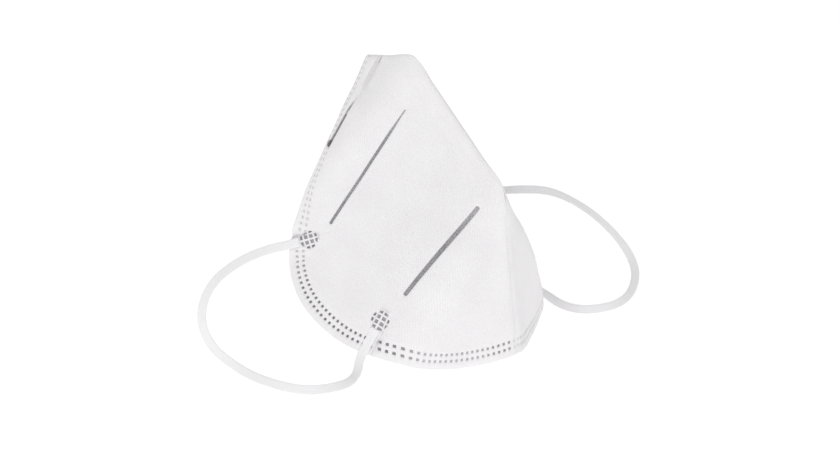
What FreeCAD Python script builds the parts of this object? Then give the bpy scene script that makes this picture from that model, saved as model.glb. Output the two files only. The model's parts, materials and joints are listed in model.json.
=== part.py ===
"""Flat-fold dust mask, opened part way and standing on the lower run of its face edge.

Each half is one blank of five plies with two creases, so it is built as three panels: cheek,
chin and nose.  The blank is drawn flat in the cheek panel's own axes: s runs up the front ridge
from the tip to the nose bend, t runs from the ridge to the face edge, and h points out of the
mask.  The creases are then folded, the left half is set in place, and the right half mirrors it.
The front of the mask faces -Y, X runs across it, and +Z is up.
"""
import FreeCAD, Part
import math
import os

V = FreeCAD.Vector

# Blank of one half, in millimetres and degrees.
RIDGE_TIP_TO_BEND = 73.5
RIDGE_TIP_TO_CHIN = 77.0
SEAM_BEND_TO_BRIDGE = 28.0
TIP_SECTOR_CHEEK = 115.0        # ridge to chin crease, at the tip
TIP_SECTOR_CHIN = 39.5          # chin crease to chin seam, at the tip
BEND_SECTOR_CHEEK = 72.0        # ridge to nose crease, at the nose bend
BEND_SECTOR_NOSE = 66.0         # nose crease to nose seam, at the nose bend
CHIN_ARC_MIDDLE = (-53.5, 65.0)
JAW_CORNER = (-38.5, 81.5)
JAW_ARC_MIDDLE = (-18.5, 97.0)
CHEEK_WIDEST = (3.5, 103.0)
CHEEK_ARC_MIDDLE = (24.5, 99.6)
CHEEK_UPPER = (38.5, 89.5)
NOSE_SIDE = (61.5, 58.5)

# Plies from the face outwards: name and thickness.
PLIES = (
    ("lining", 0.25),
    ("support", 0.60),
    ("inner_filter", 0.20),
    ("outer_filter", 0.20),
    ("outer_cover", 0.35),
)

# How the mask stands and folds.
FOLD_HALF_ANGLE = 36.5          # from the middle plane to a cheek panel
FOLD_OPENS = 8.0                # further opening of the whole fold
RIDGE_PITCH = 45.4              # upper ridge above the horizontal
TIP_Y = -34.7
TIP_Z = 78.86

# Room between panels that turn on each other.
CREASE_GAP = 0.15
SEAM_GAP = 0.20
CHIN_SEAM_RELIEF = 4.7          # extra room at the chin end of the chin seam
NOSE_SEAM_RELIEF = 1.2          # extra room at the bridge end of the nose seam
CHIN_OPENS = 12.0               # what each half turns about its seam as the mask opens
NOSE_OPENS = 6.0

# Weld ribs pressed into each cheek cover: two ends, width.
RIBS = (
    ((55.0, 16.5), (31.0, 72.5), 1.4),
    ((-1.5, 14.0), (-16.5, 61.0), 2.0),
)
RIB_DEPTH = 0.15
RIB_TOOL_HEIGHT = 1.0           # from the bottom of a rib to clear of the cover

# Nose clip: a flat strip bent at the bridge, one wing in each nose panel.
CLIP_WING = 44.0
CLIP_WIDTH = 4.0
CLIP_THICKNESS = 0.8
CLIP_INSET = 1.4                # clip to face edge
CLIP_FROM_SEAM = 2.6
CLIP_CLEARANCE = 0.1
CHANNEL_WALL = 0.35

# Ear loops: flat elastic 4.5 x 1.0, drawn as a round tube of the same section.
BAND_WIDTH = 4.5
BAND_THICKNESS = 1.0
BAND_TUBE = 2.4
BAND_END_LENGTH = 9.0
UPPER_BAND_END = (31.5, 85.0, 72.0)     # s, t and direction of the band
LOWER_BAND_END = (-18.0, 78.5, 117.0)
LEFT_LOOP_ROUTE = (
    (-56.5, 39.3, 52.7),
    (-64.0, 45.5, 51.6),
    (-74.0, 51.0, 49.6),
    (-83.5, 54.5, 46.0),
    (-92.0, 56.5, 40.3),
    (-99.0, 57.0, 31.8),
    (-103.5, 55.0, 21.5),
    (-105.0, 49.0, 11.2),
    (-104.0, 39.0, 4.0),
    (-103.0, 27.5, 1.4),
    (-104.0, 16.0, 1.3),
    (-103.5, 4.0, 1.4),
    (-99.0, -5.5, 1.3),
    (-90.0, -11.0, 1.4),
    (-79.5, -10.5, 1.3),
    (-70.0, -6.5, 2.2),
    (-62.5, -3.0, 5.8),
    (-57.0, -2.0, 11.4),
    (-52.4, -2.6, 18.1),
)
RIGHT_LOOP_ROUTE = (
    (56.5, 39.3, 52.7),
    (61.5, 46.0, 50.6),
    (69.0, 48.5, 47.6),
    (75.3, 43.0, 45.6),
    (78.0, 32.5, 45.6),
    (82.0, 21.0, 47.6),
    (89.5, 11.0, 47.3),
    (97.5, 0.5, 41.3),
    (103.5, -10.0, 32.5),
    (107.5, -20.5, 22.5),
    (107.0, -28.5, 11.0),
    (99.5, -33.0, 3.0),
    (88.0, -35.0, 1.3),
    (76.5, -33.0, 1.4),
    (69.0, -27.0, 2.6),
    (64.5, -19.0, 4.6),
    (61.5, -11.5, 6.6),
    (58.8, -5.6, 9.6),
    (55.8, -2.8, 13.6),
    (52.4, -2.6, 18.1),
)

PLY_STACK = sum(thickness for _, thickness in PLIES)
RIDGE_MARGIN = 4.0              # stock left past the ridge before it is mitred
REACH = 400.0                   # larger than the mask


def at_angle(origin, degrees, length):
    """Point of the flat blank at a distance and direction from another."""
    angle = math.radians(degrees)
    return (origin[0] + length * math.cos(angle), origin[1] + length * math.sin(angle))


def flat(point, h=0.0):
    return V(point[0], point[1], h)


def crease_fold(sector_near, sector_far, half_angle):
    """Angle of the ridge and fold of the crease that keep the far seam in the middle plane."""
    near = math.radians(sector_near)
    far = math.radians(sector_far)
    along = math.cos(near)
    across = math.sin(near) * math.cos(math.radians(half_angle))
    reach = math.hypot(along, across)
    ridge = math.atan2(across, along) + math.acos(math.cos(far) / reach)
    opened = (math.cos(ridge) - math.cos(near) * math.cos(far)) / (math.sin(near) * math.sin(far))
    return math.degrees(ridge), 180.0 - math.degrees(math.acos(opened))


TIP = (0.0, 0.0)
BEND = (RIDGE_TIP_TO_BEND, 0.0)
CHIN = at_angle(TIP, TIP_SECTOR_CHEEK + TIP_SECTOR_CHIN, RIDGE_TIP_TO_CHIN)
BRIDGE = at_angle(BEND, 180.0 - BEND_SECTOR_CHEEK - BEND_SECTOR_NOSE, SEAM_BEND_TO_BRIDGE)
CHIN_CREASE = TIP_SECTOR_CHEEK
NOSE_CREASE = 180.0 - BEND_SECTOR_CHEEK
TIP_RIDGE_ANGLE, CHIN_FOLD = crease_fold(TIP_SECTOR_CHEEK, TIP_SECTOR_CHIN, FOLD_HALF_ANGLE)
BEND_RIDGE_ANGLE, NOSE_FOLD = crease_fold(BEND_SECTOR_CHEEK, BEND_SECTOR_NOSE, FOLD_HALF_ANGLE)


def blank_face():
    """Flat outline of one half, with stock past the ridge and the two seams."""
    chin_turn = TIP_SECTOR_CHEEK + TIP_SECTOR_CHIN
    bend_turn = 180.0 - BEND_SECTOR_CHEEK - BEND_SECTOR_NOSE
    tip_out = at_angle(TIP, chin_turn / 2 + 180.0, RIDGE_MARGIN / math.sin(math.radians(chin_turn / 2)))
    bend_middle = (180.0 + bend_turn) / 2
    bend_spread = math.radians((180.0 - bend_turn) / 2)
    bend_out = at_angle(BEND, bend_middle + 180.0, RIDGE_MARGIN / math.sin(bend_spread))
    edge_angle = math.degrees(math.atan2(BRIDGE[1] - NOSE_SIDE[1], BRIDGE[0] - NOSE_SIDE[0]))
    bridge_out = at_angle(BRIDGE, edge_angle, RIDGE_MARGIN)
    chin_out = at_angle(CHIN, chin_turn + 90.0, RIDGE_MARGIN)
    edges = [
        Part.LineSegment(flat(bridge_out), flat(NOSE_SIDE)).toShape(),
        Part.LineSegment(flat(NOSE_SIDE), flat(CHEEK_UPPER)).toShape(),
        Part.Arc(flat(CHEEK_UPPER), flat(CHEEK_ARC_MIDDLE), flat(CHEEK_WIDEST)).toShape(),
        Part.Arc(flat(CHEEK_WIDEST), flat(JAW_ARC_MIDDLE), flat(JAW_CORNER)).toShape(),
        Part.Arc(flat(JAW_CORNER), flat(CHIN_ARC_MIDDLE), flat(CHIN)).toShape(),
        Part.LineSegment(flat(CHIN), flat(chin_out)).toShape(),
        Part.LineSegment(flat(chin_out), flat(tip_out)).toShape(),
        Part.LineSegment(flat(tip_out), flat(bend_out)).toShape(),
        Part.LineSegment(flat(bend_out), flat(bridge_out)).toShape(),
    ]
    return Part.Face(Part.Wire(edges))


def beyond(origin, crease_angle, side_angle, start):
    """Block of the flat frame that lies more than start past a crease, on the side given."""
    block = Part.makeBox(REACH, 2 * REACH, REACH, V(start, -REACH, -REACH / 2))
    block.rotate(V(0, 0, 0), V(0, 0, 1), crease_angle + side_angle)
    block.translate(flat(origin))
    return block


def cut_panels(blank):
    """Cut a flat ply at its two creases into chin, cheek and nose."""
    chin = blank.common(beyond(TIP, CHIN_CREASE, 90.0, CREASE_GAP))
    nose = blank.common(beyond(BEND, NOSE_CREASE, -90.0, CREASE_GAP))
    cheek = blank.cut(beyond(TIP, CHIN_CREASE, 90.0, -CREASE_GAP))
    cheek = cheek.cut(beyond(BEND, NOSE_CREASE, -90.0, -CREASE_GAP))
    return {"chin": chin, "cheek": cheek, "nose": nose}


def slot(start, end, width, bottom, height):
    """Round-ended bar standing on the level given."""
    length = math.hypot(end[0] - start[0], end[1] - start[1])
    angle = math.degrees(math.atan2(end[1] - start[1], end[0] - start[0]))
    r = width / 2
    outline = Part.Wire([
        Part.LineSegment(V(0, -r, 0), V(length, -r, 0)).toShape(),
        Part.Arc(V(length, -r, 0), V(length + r, 0, 0), V(length, r, 0)).toShape(),
        Part.LineSegment(V(length, r, 0), V(0, r, 0)).toShape(),
        Part.Arc(V(0, r, 0), V(-r, 0, 0), V(0, -r, 0)).toShape(),
    ])
    bar = Part.Face(outline).extrude(V(0, 0, height))
    bar.rotate(V(0, 0, 0), V(0, 0, 1), angle)
    bar.translate(flat(start, bottom))
    return bar


def flat_block(start, angle, length, width, side_offset, bottom, height):
    """Rectangular block that runs from a point of the blank in the direction given."""
    block = Part.makeBox(length, width, height, V(0, side_offset, bottom))
    block.rotate(V(0, 0, 0), V(0, 0, 1), angle)
    block.translate(flat(start))
    return block


def clip_block(grow, bottom, height):
    """Nose clip wing beside the face edge, or the room around it when grown; ends at the crease."""
    angle = math.degrees(math.atan2(NOSE_SIDE[1] - BRIDGE[1], NOSE_SIDE[0] - BRIDGE[0]))
    start = at_angle(BRIDGE, angle, CLIP_FROM_SEAM - grow)
    length = CLIP_WING + 2 * grow
    width = CLIP_WIDTH + 2 * grow
    block = flat_block(start, angle, length, width, CLIP_INSET - grow, bottom, height)
    return block.common(beyond(BEND, NOSE_CREASE, -90.0, CREASE_GAP))


def nose_cover_with_channel(cover, cover_bottom):
    """Raise the nose cover over the clip and leave the clip's room inside."""
    room = CLIP_THICKNESS + CLIP_CLEARANCE
    raised = clip_block(CLIP_CLEARANCE + CHANNEL_WALL, cover_bottom, room + CHANNEL_WALL)
    return cover.fuse(raised).cut(clip_block(CLIP_CLEARANCE, cover_bottom, room)).removeSplitter()


def band_end(spot):
    """Flat end of the elastic, welded on the cheek cover."""
    s, t, angle = spot
    start = at_angle((s, t), angle, -BAND_END_LENGTH / 2)
    return flat_block(start, angle, BAND_END_LENGTH, BAND_WIDTH, -BAND_WIDTH / 2, PLY_STACK, BAND_THICKNESS)


def fold_panel(shape, panel):
    """Fold a chin or nose shape inwards about its crease."""
    if panel == "chin":
        shape.rotate(flat(TIP), flat(at_angle(TIP, CHIN_CREASE, 1.0)), -CHIN_FOLD)
    if panel == "nose":
        axis = flat(at_angle((0, 0), NOSE_CREASE, 1.0))
        shape.rotate(flat(BEND), axis, NOSE_FOLD)
    return shape


def stand_matrix():
    """Flat frame of the left half to the standing mask."""
    half = math.radians(FOLD_HALF_ANGLE)
    pitch = math.radians(RIDGE_PITCH)
    s = V(0, math.cos(pitch), math.sin(pitch))
    t = V(-math.sin(half), math.cos(half) * math.sin(pitch), -math.cos(half) * math.cos(pitch))
    h = s.cross(t)
    return FreeCAD.Matrix(
        s.x, t.x, h.x, 0.0,
        s.y, t.y, h.y, TIP_Y,
        s.z, t.z, h.z, TIP_Z,
        0.0, 0.0, 0.0, 1.0,
    )


STAND = stand_matrix()


def middle_point(angle, origin, length):
    """Point of the middle plane at a distance from another, angle above +Y."""
    turn = math.radians(angle)
    return V(0, origin.y + length * math.cos(turn), origin.z + length * math.sin(turn))


TIP_POINT = V(0, TIP_Y, TIP_Z)
BEND_POINT = middle_point(RIDGE_PITCH, TIP_POINT, RIDGE_TIP_TO_BEND)
CHIN_POINT = middle_point(RIDGE_PITCH - TIP_RIDGE_ANGLE, TIP_POINT, RIDGE_TIP_TO_CHIN)
BRIDGE_POINT = middle_point(RIDGE_PITCH + 180.0 + BEND_RIDGE_ANGLE, BEND_POINT, SEAM_BEND_TO_BRIDGE)

# Seam of each panel: its two ends, the turn that bites into the left half's outer face as it
# opens, and the relief at the far end.
SEAMS = {
    "cheek": (TIP_POINT, BEND_POINT, -FOLD_OPENS / 2, 0.0),
    "chin": (TIP_POINT, CHIN_POINT, CHIN_OPENS, CHIN_SEAM_RELIEF),
    "nose": (BEND_POINT, BRIDGE_POINT, -NOSE_OPENS, NOSE_SEAM_RELIEF),
}


def mitre(shape, panel):
    """Trim a standing left panel at the middle plane, with room to turn about its seam."""
    near, far, opens, relief = SEAMS[panel]
    block = Part.makeBox(REACH, 2 * REACH, 2 * REACH, V(-SEAM_GAP, -REACH, -REACH))
    along = far - near
    across = V(1, 0, 0).cross(along)
    block.rotate(near, across, math.degrees(math.atan2(relief, along.Length)))
    block.rotate(near, along, opens)
    return shape.cut(block)


def pressed_ribs(cover):
    """Press the ribs into the cheek cover."""
    for start, end, width in RIBS:
        cover = cover.cut(slot(start, end, width, PLY_STACK - RIB_DEPTH, RIB_TOOL_HEIGHT))
    return cover


def left_half():
    """All solids of the left half, by name without the side."""
    blank = blank_face()
    solids = {}
    bottom = 0.0
    for ply, thickness in PLIES:
        sheet = blank.extrude(V(0, 0, thickness))
        sheet.translate(V(0, 0, bottom))
        panels = cut_panels(sheet)
        if ply == "outer_cover":
            panels["cheek"] = pressed_ribs(panels["cheek"])
            panels["nose"] = nose_cover_with_channel(panels["nose"], bottom)
            cover_bottom = bottom
        for panel, shape in panels.items():
            shape = fold_panel(shape, panel).transformed(STAND, True)
            solids[f"{panel}_{ply}"] = mitre(shape, panel)
        bottom += thickness
    clip = fold_panel(clip_block(0.0, cover_bottom, CLIP_THICKNESS), "nose")
    solids["nose_clip_wing"] = clip.transformed(STAND, True)
    solids["upper_band_end"] = band_end(UPPER_BAND_END).transformed(STAND, True)
    solids["lower_band_end"] = band_end(LOWER_BAND_END).transformed(STAND, True)
    return solids


def rounded_route(points):
    """Straight runs joined by tangent arcs as large as their two runs allow."""
    corners = [V(*point) for point in points]
    edges = []
    radii = []
    last = corners[0]
    for before, corner, after in zip(corners, corners[1:], corners[2:]):
        back = before - corner
        on = after - corner
        trim = 0.45 * min(back.Length, on.Length)
        turn = math.pi - back.getAngle(on)
        radius = trim / math.tan(turn / 2)
        back.normalize()
        on.normalize()
        start = corner + back * trim
        end = corner + on * trim
        inward = back + on
        inward.normalize()
        middle = corner + inward * (radius / math.cos(turn / 2) - radius)
        edges.append(Part.LineSegment(last, start).toShape())
        edges.append(Part.Arc(start, middle, end).toShape())
        radii.append(radius)
        last = end
    edges.append(Part.LineSegment(last, corners[-1]).toShape())
    return Part.Wire(edges), radii


def ear_loop(name, points):
    """Elastic band as a tube along its route."""
    path, radii = rounded_route(points)
    first = V(*points[1]) - V(*points[0])
    ring = Part.Wire(Part.makeCircle(BAND_TUBE / 2, V(*points[0]), first))
    tube = path.makePipeShell([ring], True, False)
    expected = path.Length * math.pi * BAND_TUBE ** 2 / 4
    print(f"{name}: length {path.Length:.1f} mm, radii " + " ".join(f"{r:.0f}" for r in radii))
    print(f"{name}: volume {tube.Volume:.0f} mm3, section by length {expected:.0f} mm3")
    return tube


def main():
    os.makedirs("parts", exist_ok=True)
    solids = {}
    for name, shape in left_half().items():
        solids[f"left_{name}"] = shape
        solids[f"right_{name}"] = shape.mirror(V(0, 0, 0), V(1, 0, 0))
    solids["left_ear_loop"] = ear_loop("left_ear_loop", LEFT_LOOP_ROUTE)
    solids["right_ear_loop"] = ear_loop("right_ear_loop", RIGHT_LOOP_ROUTE)
    box = FreeCAD.BoundBox()
    for name, shape in solids.items():
        shape.exportStep(f"parts/{name}.step")
        if "ear_loop" not in name:
            box.add(shape.BoundBox)
    print(f"{len(solids)} nodes; box without the loops {box}")
    print(f"tip {TIP_POINT}, bend {BEND_POINT}, chin {CHIN_POINT}, bridge {BRIDGE_POINT}")
    print(f"chin crease folds {CHIN_FOLD:.2f}, nose crease folds {NOSE_FOLD:.2f} degrees")
    for name, angle in (("chin", CHIN_CREASE), ("nose", NOSE_CREASE)):
        axis = STAND.multVec(flat(at_angle((0, 0), angle, 1.0))) - TIP_POINT
        print(f"left {name} crease direction {axis}")


main()
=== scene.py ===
"""Looks of the flat-fold dust mask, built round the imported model.

Each half is one blank of five plies.
"""
import json
import math

import bpy
import numpy as np
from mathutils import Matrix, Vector


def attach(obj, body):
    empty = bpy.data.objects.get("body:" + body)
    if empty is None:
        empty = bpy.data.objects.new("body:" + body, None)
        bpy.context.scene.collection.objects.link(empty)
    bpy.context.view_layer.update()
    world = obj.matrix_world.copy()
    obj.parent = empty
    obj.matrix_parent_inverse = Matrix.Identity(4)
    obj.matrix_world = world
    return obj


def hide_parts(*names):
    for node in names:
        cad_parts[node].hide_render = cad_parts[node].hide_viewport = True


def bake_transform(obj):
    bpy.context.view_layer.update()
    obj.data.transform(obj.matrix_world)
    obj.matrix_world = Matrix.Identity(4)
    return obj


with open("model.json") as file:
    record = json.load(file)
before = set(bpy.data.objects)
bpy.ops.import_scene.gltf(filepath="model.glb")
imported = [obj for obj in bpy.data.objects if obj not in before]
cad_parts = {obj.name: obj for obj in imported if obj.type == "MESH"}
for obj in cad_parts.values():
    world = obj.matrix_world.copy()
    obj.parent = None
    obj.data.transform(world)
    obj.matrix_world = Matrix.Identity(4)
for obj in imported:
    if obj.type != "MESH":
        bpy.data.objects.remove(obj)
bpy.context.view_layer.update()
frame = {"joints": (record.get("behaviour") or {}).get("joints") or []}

MM = 0.001
JOINTS = {joint["name"]: joint for joint in frame["joints"]}


def added(name, data):
    """A new object, put in the scene."""
    made = bpy.data.objects.new(name, data)
    bpy.context.scene.collection.objects.link(made)
    return made


def eased(x):
    """Smooth step from 0 to 1."""
    x = np.clip(x, 0, 1)
    return x * x * (3 - 2 * x)


def unit(v):
    v = np.asarray(v, float)
    return v / np.linalg.norm(v)


# ---------------- camera
CAMERA_TURN = math.radians(-50.0)
CAMERA_LIFT = math.radians(18.0)
CAMERA_AWAY = 0.80
CAMERA_LENS = 74.2
CAMERA_AIM = (-0.0102, 0.0045, 0.0500)


def add_camera():
    """Looks down on the left half from the front, the way the mask is sold."""
    back = Vector((
        math.sin(CAMERA_TURN) * math.cos(CAMERA_LIFT),
        -math.cos(CAMERA_TURN) * math.cos(CAMERA_LIFT),
        math.sin(CAMERA_LIFT),
    ))
    camera = added("camera", bpy.data.cameras.new("camera"))
    camera.data.lens = CAMERA_LENS
    camera.location = Vector(CAMERA_AIM) + back * CAMERA_AWAY
    camera.rotation_mode = "QUATERNION"
    camera.rotation_quaternion = (-back).to_track_quat("-Z", "Y")
    camera.data.clip_start = 0.01
    bpy.context.scene.camera = camera


# ---------------- the flat pattern
RIDGE = 73.5
CHIN_SEAM = 77.0
NOSE_SEAM = 28.0
CHIN_SECTOR = 39.5
NOSE_SECTOR = 66.0
CHIN_ARC_MIDDLE = (-53.5, 65.0)
JAW_CORNER = (-38.5, 81.5)
JAW_ARC_MIDDLE = (-18.5, 97.0)
CHEEK_WIDEST = (3.5, 103.0)
CHEEK_ARC_MIDDLE = (24.5, 99.6)
CHEEK_UPPER = (38.5, 89.5)
NOSE_SIDE = (61.5, 58.5)

PLIES = (
    ("lining", 0.25, "inner_spunbond"),
    ("support", 0.60, "hot_air_cotton"),
    ("inner_filter", 0.20, "meltblown"),
    ("outer_filter", 0.20, "meltblown"),
    ("outer_cover", 0.35, "outer_spunbond"),
)
STACK = sum(thickness for _, thickness, _ in PLIES)

# The middle plane of the mask and the left cheek's own axes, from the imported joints.
TIP = np.array(JOINTS["centre_fold"]["pos_m"], float) / MM
BEND = np.array(JOINTS["left_nose_fold"]["pos_m"], float) / MM
ALONG = unit(JOINTS["centre_fold"]["axis"])
CHIN_AXIS = unit(JOINTS["left_chin_fold"]["axis"])
NOSE_AXIS = unit(JOINTS["left_nose_fold"]["axis"])
ACROSS = unit(CHIN_AXIS - CHIN_AXIS.dot(ALONG) * ALONG)
OUTWARD = np.cross(ALONG, ACROSS)
CHIN_CREASE = math.degrees(math.atan2(CHIN_AXIS.dot(ACROSS), CHIN_AXIS.dot(ALONG)))
NOSE_CREASE = math.degrees(math.atan2(NOSE_AXIS.dot(ACROSS), NOSE_AXIS.dot(ALONG)))


def heading(degrees):
    return np.array([math.cos(math.radians(degrees)), math.sin(math.radians(degrees))])


CHIN_TURN = CHIN_CREASE + CHIN_SECTOR
NOSE_TURN = NOSE_CREASE - NOSE_SECTOR
CHIN_POINT = CHIN_SEAM * heading(CHIN_TURN)
BRIDGE_POINT = np.array([RIDGE, 0.0]) + NOSE_SEAM * heading(NOSE_TURN)


def turned(points, origin, axis, angles):
    """Points turned about a line, each by its own angle."""
    p = points - origin
    c = np.cos(angles)[..., None]
    s = np.sin(angles)[..., None]
    on_axis = (p @ axis)[..., None] * axis
    return origin + on_axis + (p - on_axis) * c + np.cross(axis, p) * s


def in_cheek_plane(s, t, h=0.0):
    s, t, h = np.broadcast_arrays(np.asarray(s, float), t, h)
    return TIP + s[..., None] * ALONG + t[..., None] * ACROSS + h[..., None] * OUTWARD


def closing_angle(point, origin, axis, sense):
    """How far a sector turns about its crease until the point lies in the middle plane."""
    low, high = 0.0, math.radians(60.0)
    start = in_cheek_plane(point[0], point[1])
    for _ in range(50):
        middle = (low + high) / 2
        x = turned(start, origin, axis, np.array(sense * middle))[0]
        low, high = (middle, high) if x < 0 else (low, middle)
    return sense * low


CHIN_FOLD = closing_angle(CHIN_POINT, TIP, CHIN_AXIS, -1.0)
NOSE_FOLD = closing_angle(BRIDGE_POINT, BEND, NOSE_AXIS, 1.0)

# Each crease is a soft bend this far to either side, square to the crease, halfway up the fold.
CHIN_SOFT = 13.0
NOSE_SOFT = 13.0


def crease_span(origin, axis, fold, reach, inner_side):
    """Start, in the cheek, and end, past the crease, of the soft bend."""
    square = np.cross(OUTWARD, axis) * inner_side
    halfway = turned(origin + square, origin, axis, np.array(fold / 2)) - origin
    return origin - halfway * reach, origin + halfway * reach


CHIN_START, CHIN_END = crease_span(TIP, CHIN_AXIS, CHIN_FOLD, CHIN_SOFT, 1.0)
NOSE_START, NOSE_END = crease_span(BEND, NOSE_AXIS, NOSE_FOLD, NOSE_SOFT, -1.0)


def share(points, start, end):
    d = end - start
    return eased((points - start) @ d / d.dot(d))


def line_distance(s, t, origin, degrees):
    """Distance inside a line of the blank that runs in that direction."""
    d = heading(degrees)
    return -(d[1] * (s - origin[0]) - d[0] * (t - origin[1]))


def seam_distances(s, t):
    """Distance to the ridge, the chin seam and the nose seam."""
    ridge = np.asarray(t, float)
    chin = -line_distance(s, t, (0.0, 0.0), CHIN_TURN)
    nose = line_distance(s, t, (RIDGE, 0.0), NOSE_TURN)
    return np.maximum(ridge, 1e-3), np.maximum(chin, 1e-3), np.maximum(nose, 1e-3)


def seam_distance(s, t):
    """One smooth distance to all three."""
    return sum(d ** -4.0 for d in seam_distances(s, t)) ** -0.25


BOW = 7.8                # how far the lower cheek is puffed out
BOW_BASE = 0.14
BOW_CENTRE = -20.0
BOW_WIDTH = 36.0
BOW_RISE = 24.0
# Slow unevenness of worn cloth: height, waves along s and t per millimetre, phase.
WAVES = (
    (0.26, 0.105, 0.060, 0.4),
    (0.20, -0.070, 0.120, 1.9),
    (0.13, 0.190, 0.110, 3.1),
    (0.10, -0.160, 0.230, 5.0),
)
# Small pleats that the welded elastics draw in the cover: middle, direction, half length and
# half width in the blank, depth.
PLEATS = (
    ((-27.3, 83.6), 117.0, 6.5, 1.7, 2.5),
    ((35.3, 89.4), 72.0, 4.5, 1.7, 2.0),
    ((24.5, 92.5), 84.0, 4.0, 2.2, 0.5),
)


def bow(s, t):
    seam = seam_distance(s, t)
    puff = BOW_BASE + (1 - BOW_BASE) * np.exp(-((s - BOW_CENTRE) / BOW_WIDTH) ** 2)
    height = BOW * puff * (1 - np.exp(-(seam / BOW_RISE) ** 2))
    calm = 1 - np.exp(-(seam / 12.0) ** 2)
    for rise, along, across, phase in WAVES:
        height = height + rise * calm * np.sin(along * s + across * t + phase)
    for pleat in PLEATS:
        height = height - pleat[4] * pleat_shape(s, t, pleat, 1.0)
    return height


def pleat_shape(s, t, pleat, wider):
    """1 in the middle of a pleat, falling away round it."""
    (cs, ct), degrees, length, width, _ = pleat
    way = heading(degrees)
    x = ((s - cs) * way[0] + (t - ct) * way[1]) / (length * wider)
    y = ((t - ct) * way[0] - (s - cs) * way[1]) / (width * wider)
    return np.exp(-x * x - y * y)


def spread(s, t):
    """Inner face of the left half, standing part open."""
    flat = in_cheek_plane(s, t, bow(s, t))
    points = flat
    for _ in range(8):
        chin = share(points, CHIN_START, CHIN_END)
        nose = share(points, NOSE_START, NOSE_END)
        points = turned(flat, TIP, CHIN_AXIS, CHIN_FOLD * chin)
        points = turned(points, BEND, NOSE_AXIS, NOSE_FOLD * nose)
    return points


def outward_normal(s, t, step=0.25):
    ds = spread(s + step, t) - spread(s - step, t)
    dt = spread(s, t + step) - spread(s, t - step)
    n = np.cross(ds, dt)
    return n / np.linalg.norm(n, axis=-1, keepdims=True)


CHIN_3D = spread(np.array(CHIN_POINT[0]), np.array(CHIN_POINT[1]))
BRIDGE_3D = spread(np.array(BRIDGE_POINT[0]), np.array(BRIDGE_POINT[1]))
MASK_CENTRE = np.array([0.0, 5.0, 66.0])


def seam_out(origin, far):
    """Direction in the middle plane, square to a seam, that leaves the mask."""
    along = np.array([0.0, far[1] - origin[1], far[2] - origin[2]])
    out = unit(np.cross(np.array([1.0, 0.0, 0.0]), along))
    return out if out.dot((origin + far) / 2 - MASK_CENTRE) > 0 else -out


SEAM_OUT = (seam_out(TIP, BEND), seam_out(TIP, CHIN_3D), seam_out(BEND, BRIDGE_3D))


# ---------------- the face edge
EDGE_STEP = 0.5
EDGE_ROUNDING = 5.0      # softening of the edge's corners, in steps
EDGE_LOOK = 2.0          # how far either way the edge's direction is taken
SEAM_SWAY = 14.0         # how far from a seam the columns turn to run along it


def arc(first, middle, last, step=EDGE_STEP):
    """Points of the circular arc through three points."""
    a, b, c = (np.array(p, float) for p in (first, middle, last))
    d = 2 * (a[0] * (b[1] - c[1]) + b[0] * (c[1] - a[1]) + c[0] * (a[1] - b[1]))
    aa, bb, cc = a.dot(a), b.dot(b), c.dot(c)
    centre = np.array([
        (aa * (b[1] - c[1]) + bb * (c[1] - a[1]) + cc * (a[1] - b[1])) / d,
        (aa * (c[0] - b[0]) + bb * (a[0] - c[0]) + cc * (b[0] - a[0])) / d,
    ])
    start = math.atan2(*(a - centre)[::-1])
    end = math.atan2(*(c - centre)[::-1])
    if end > start:
        end -= 2 * math.pi
    radius = np.linalg.norm(a - centre)
    n = max(2, int(radius * (start - end) / step))
    angles = np.linspace(start, end, n)
    return centre + radius * np.stack([np.cos(angles), np.sin(angles)], 1)


def straight(first, last, step=EDGE_STEP):
    a, b = np.array(first, float), np.array(last, float)
    n = max(2, int(np.linalg.norm(b - a) / step))
    return a + (b - a) * np.linspace(0, 1, n)[:, None]


def lengths_along(points):
    return np.concatenate([[0], np.cumsum(np.linalg.norm(np.diff(points, axis=0), axis=1))])


def evenly(points, step):
    at = lengths_along(points)
    want = np.linspace(0, at[-1], int(at[-1] / step) + 1)
    return np.stack([np.interp(want, at, points[:, i]) for i in range(points.shape[1])], 1)


def blurred(values, width, reach):
    """A row of numbers smoothed, with its two ends held."""
    kernel = np.exp(-(np.arange(-reach, reach + 1) / width) ** 2)
    kernel /= kernel.sum()
    before = 2 * values[0] - values[reach:0:-1]
    after = 2 * values[-1] - values[-2:-reach - 2:-1]
    return np.convolve(np.concatenate([before, values, after]), kernel, "valid")


def softened(points, width):
    """Rounds the corners of an evenly spaced line."""
    return np.stack([blurred(points[:, i], width, int(width * 3)) for i in range(2)], 1)


def face_edge():
    """The cut edge of the blank from the chin point to the bridge."""
    runs = [
        arc(CHIN_POINT, CHIN_ARC_MIDDLE, JAW_CORNER),
        arc(JAW_CORNER, JAW_ARC_MIDDLE, CHEEK_WIDEST),
        arc(CHEEK_WIDEST, CHEEK_ARC_MIDDLE, CHEEK_UPPER),
        straight(CHEEK_UPPER, NOSE_SIDE),
        straight(NOSE_SIDE, BRIDGE_POINT),
    ]
    line = evenly(np.concatenate([runs[0]] + [run[1:] for run in runs[1:]]), EDGE_STEP)
    return softened(line, EDGE_ROUNDING)


EDGE = face_edge()
EDGE_AT = lengths_along(EDGE)
EDGE_LENGTH = EDGE_AT[-1]


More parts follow.
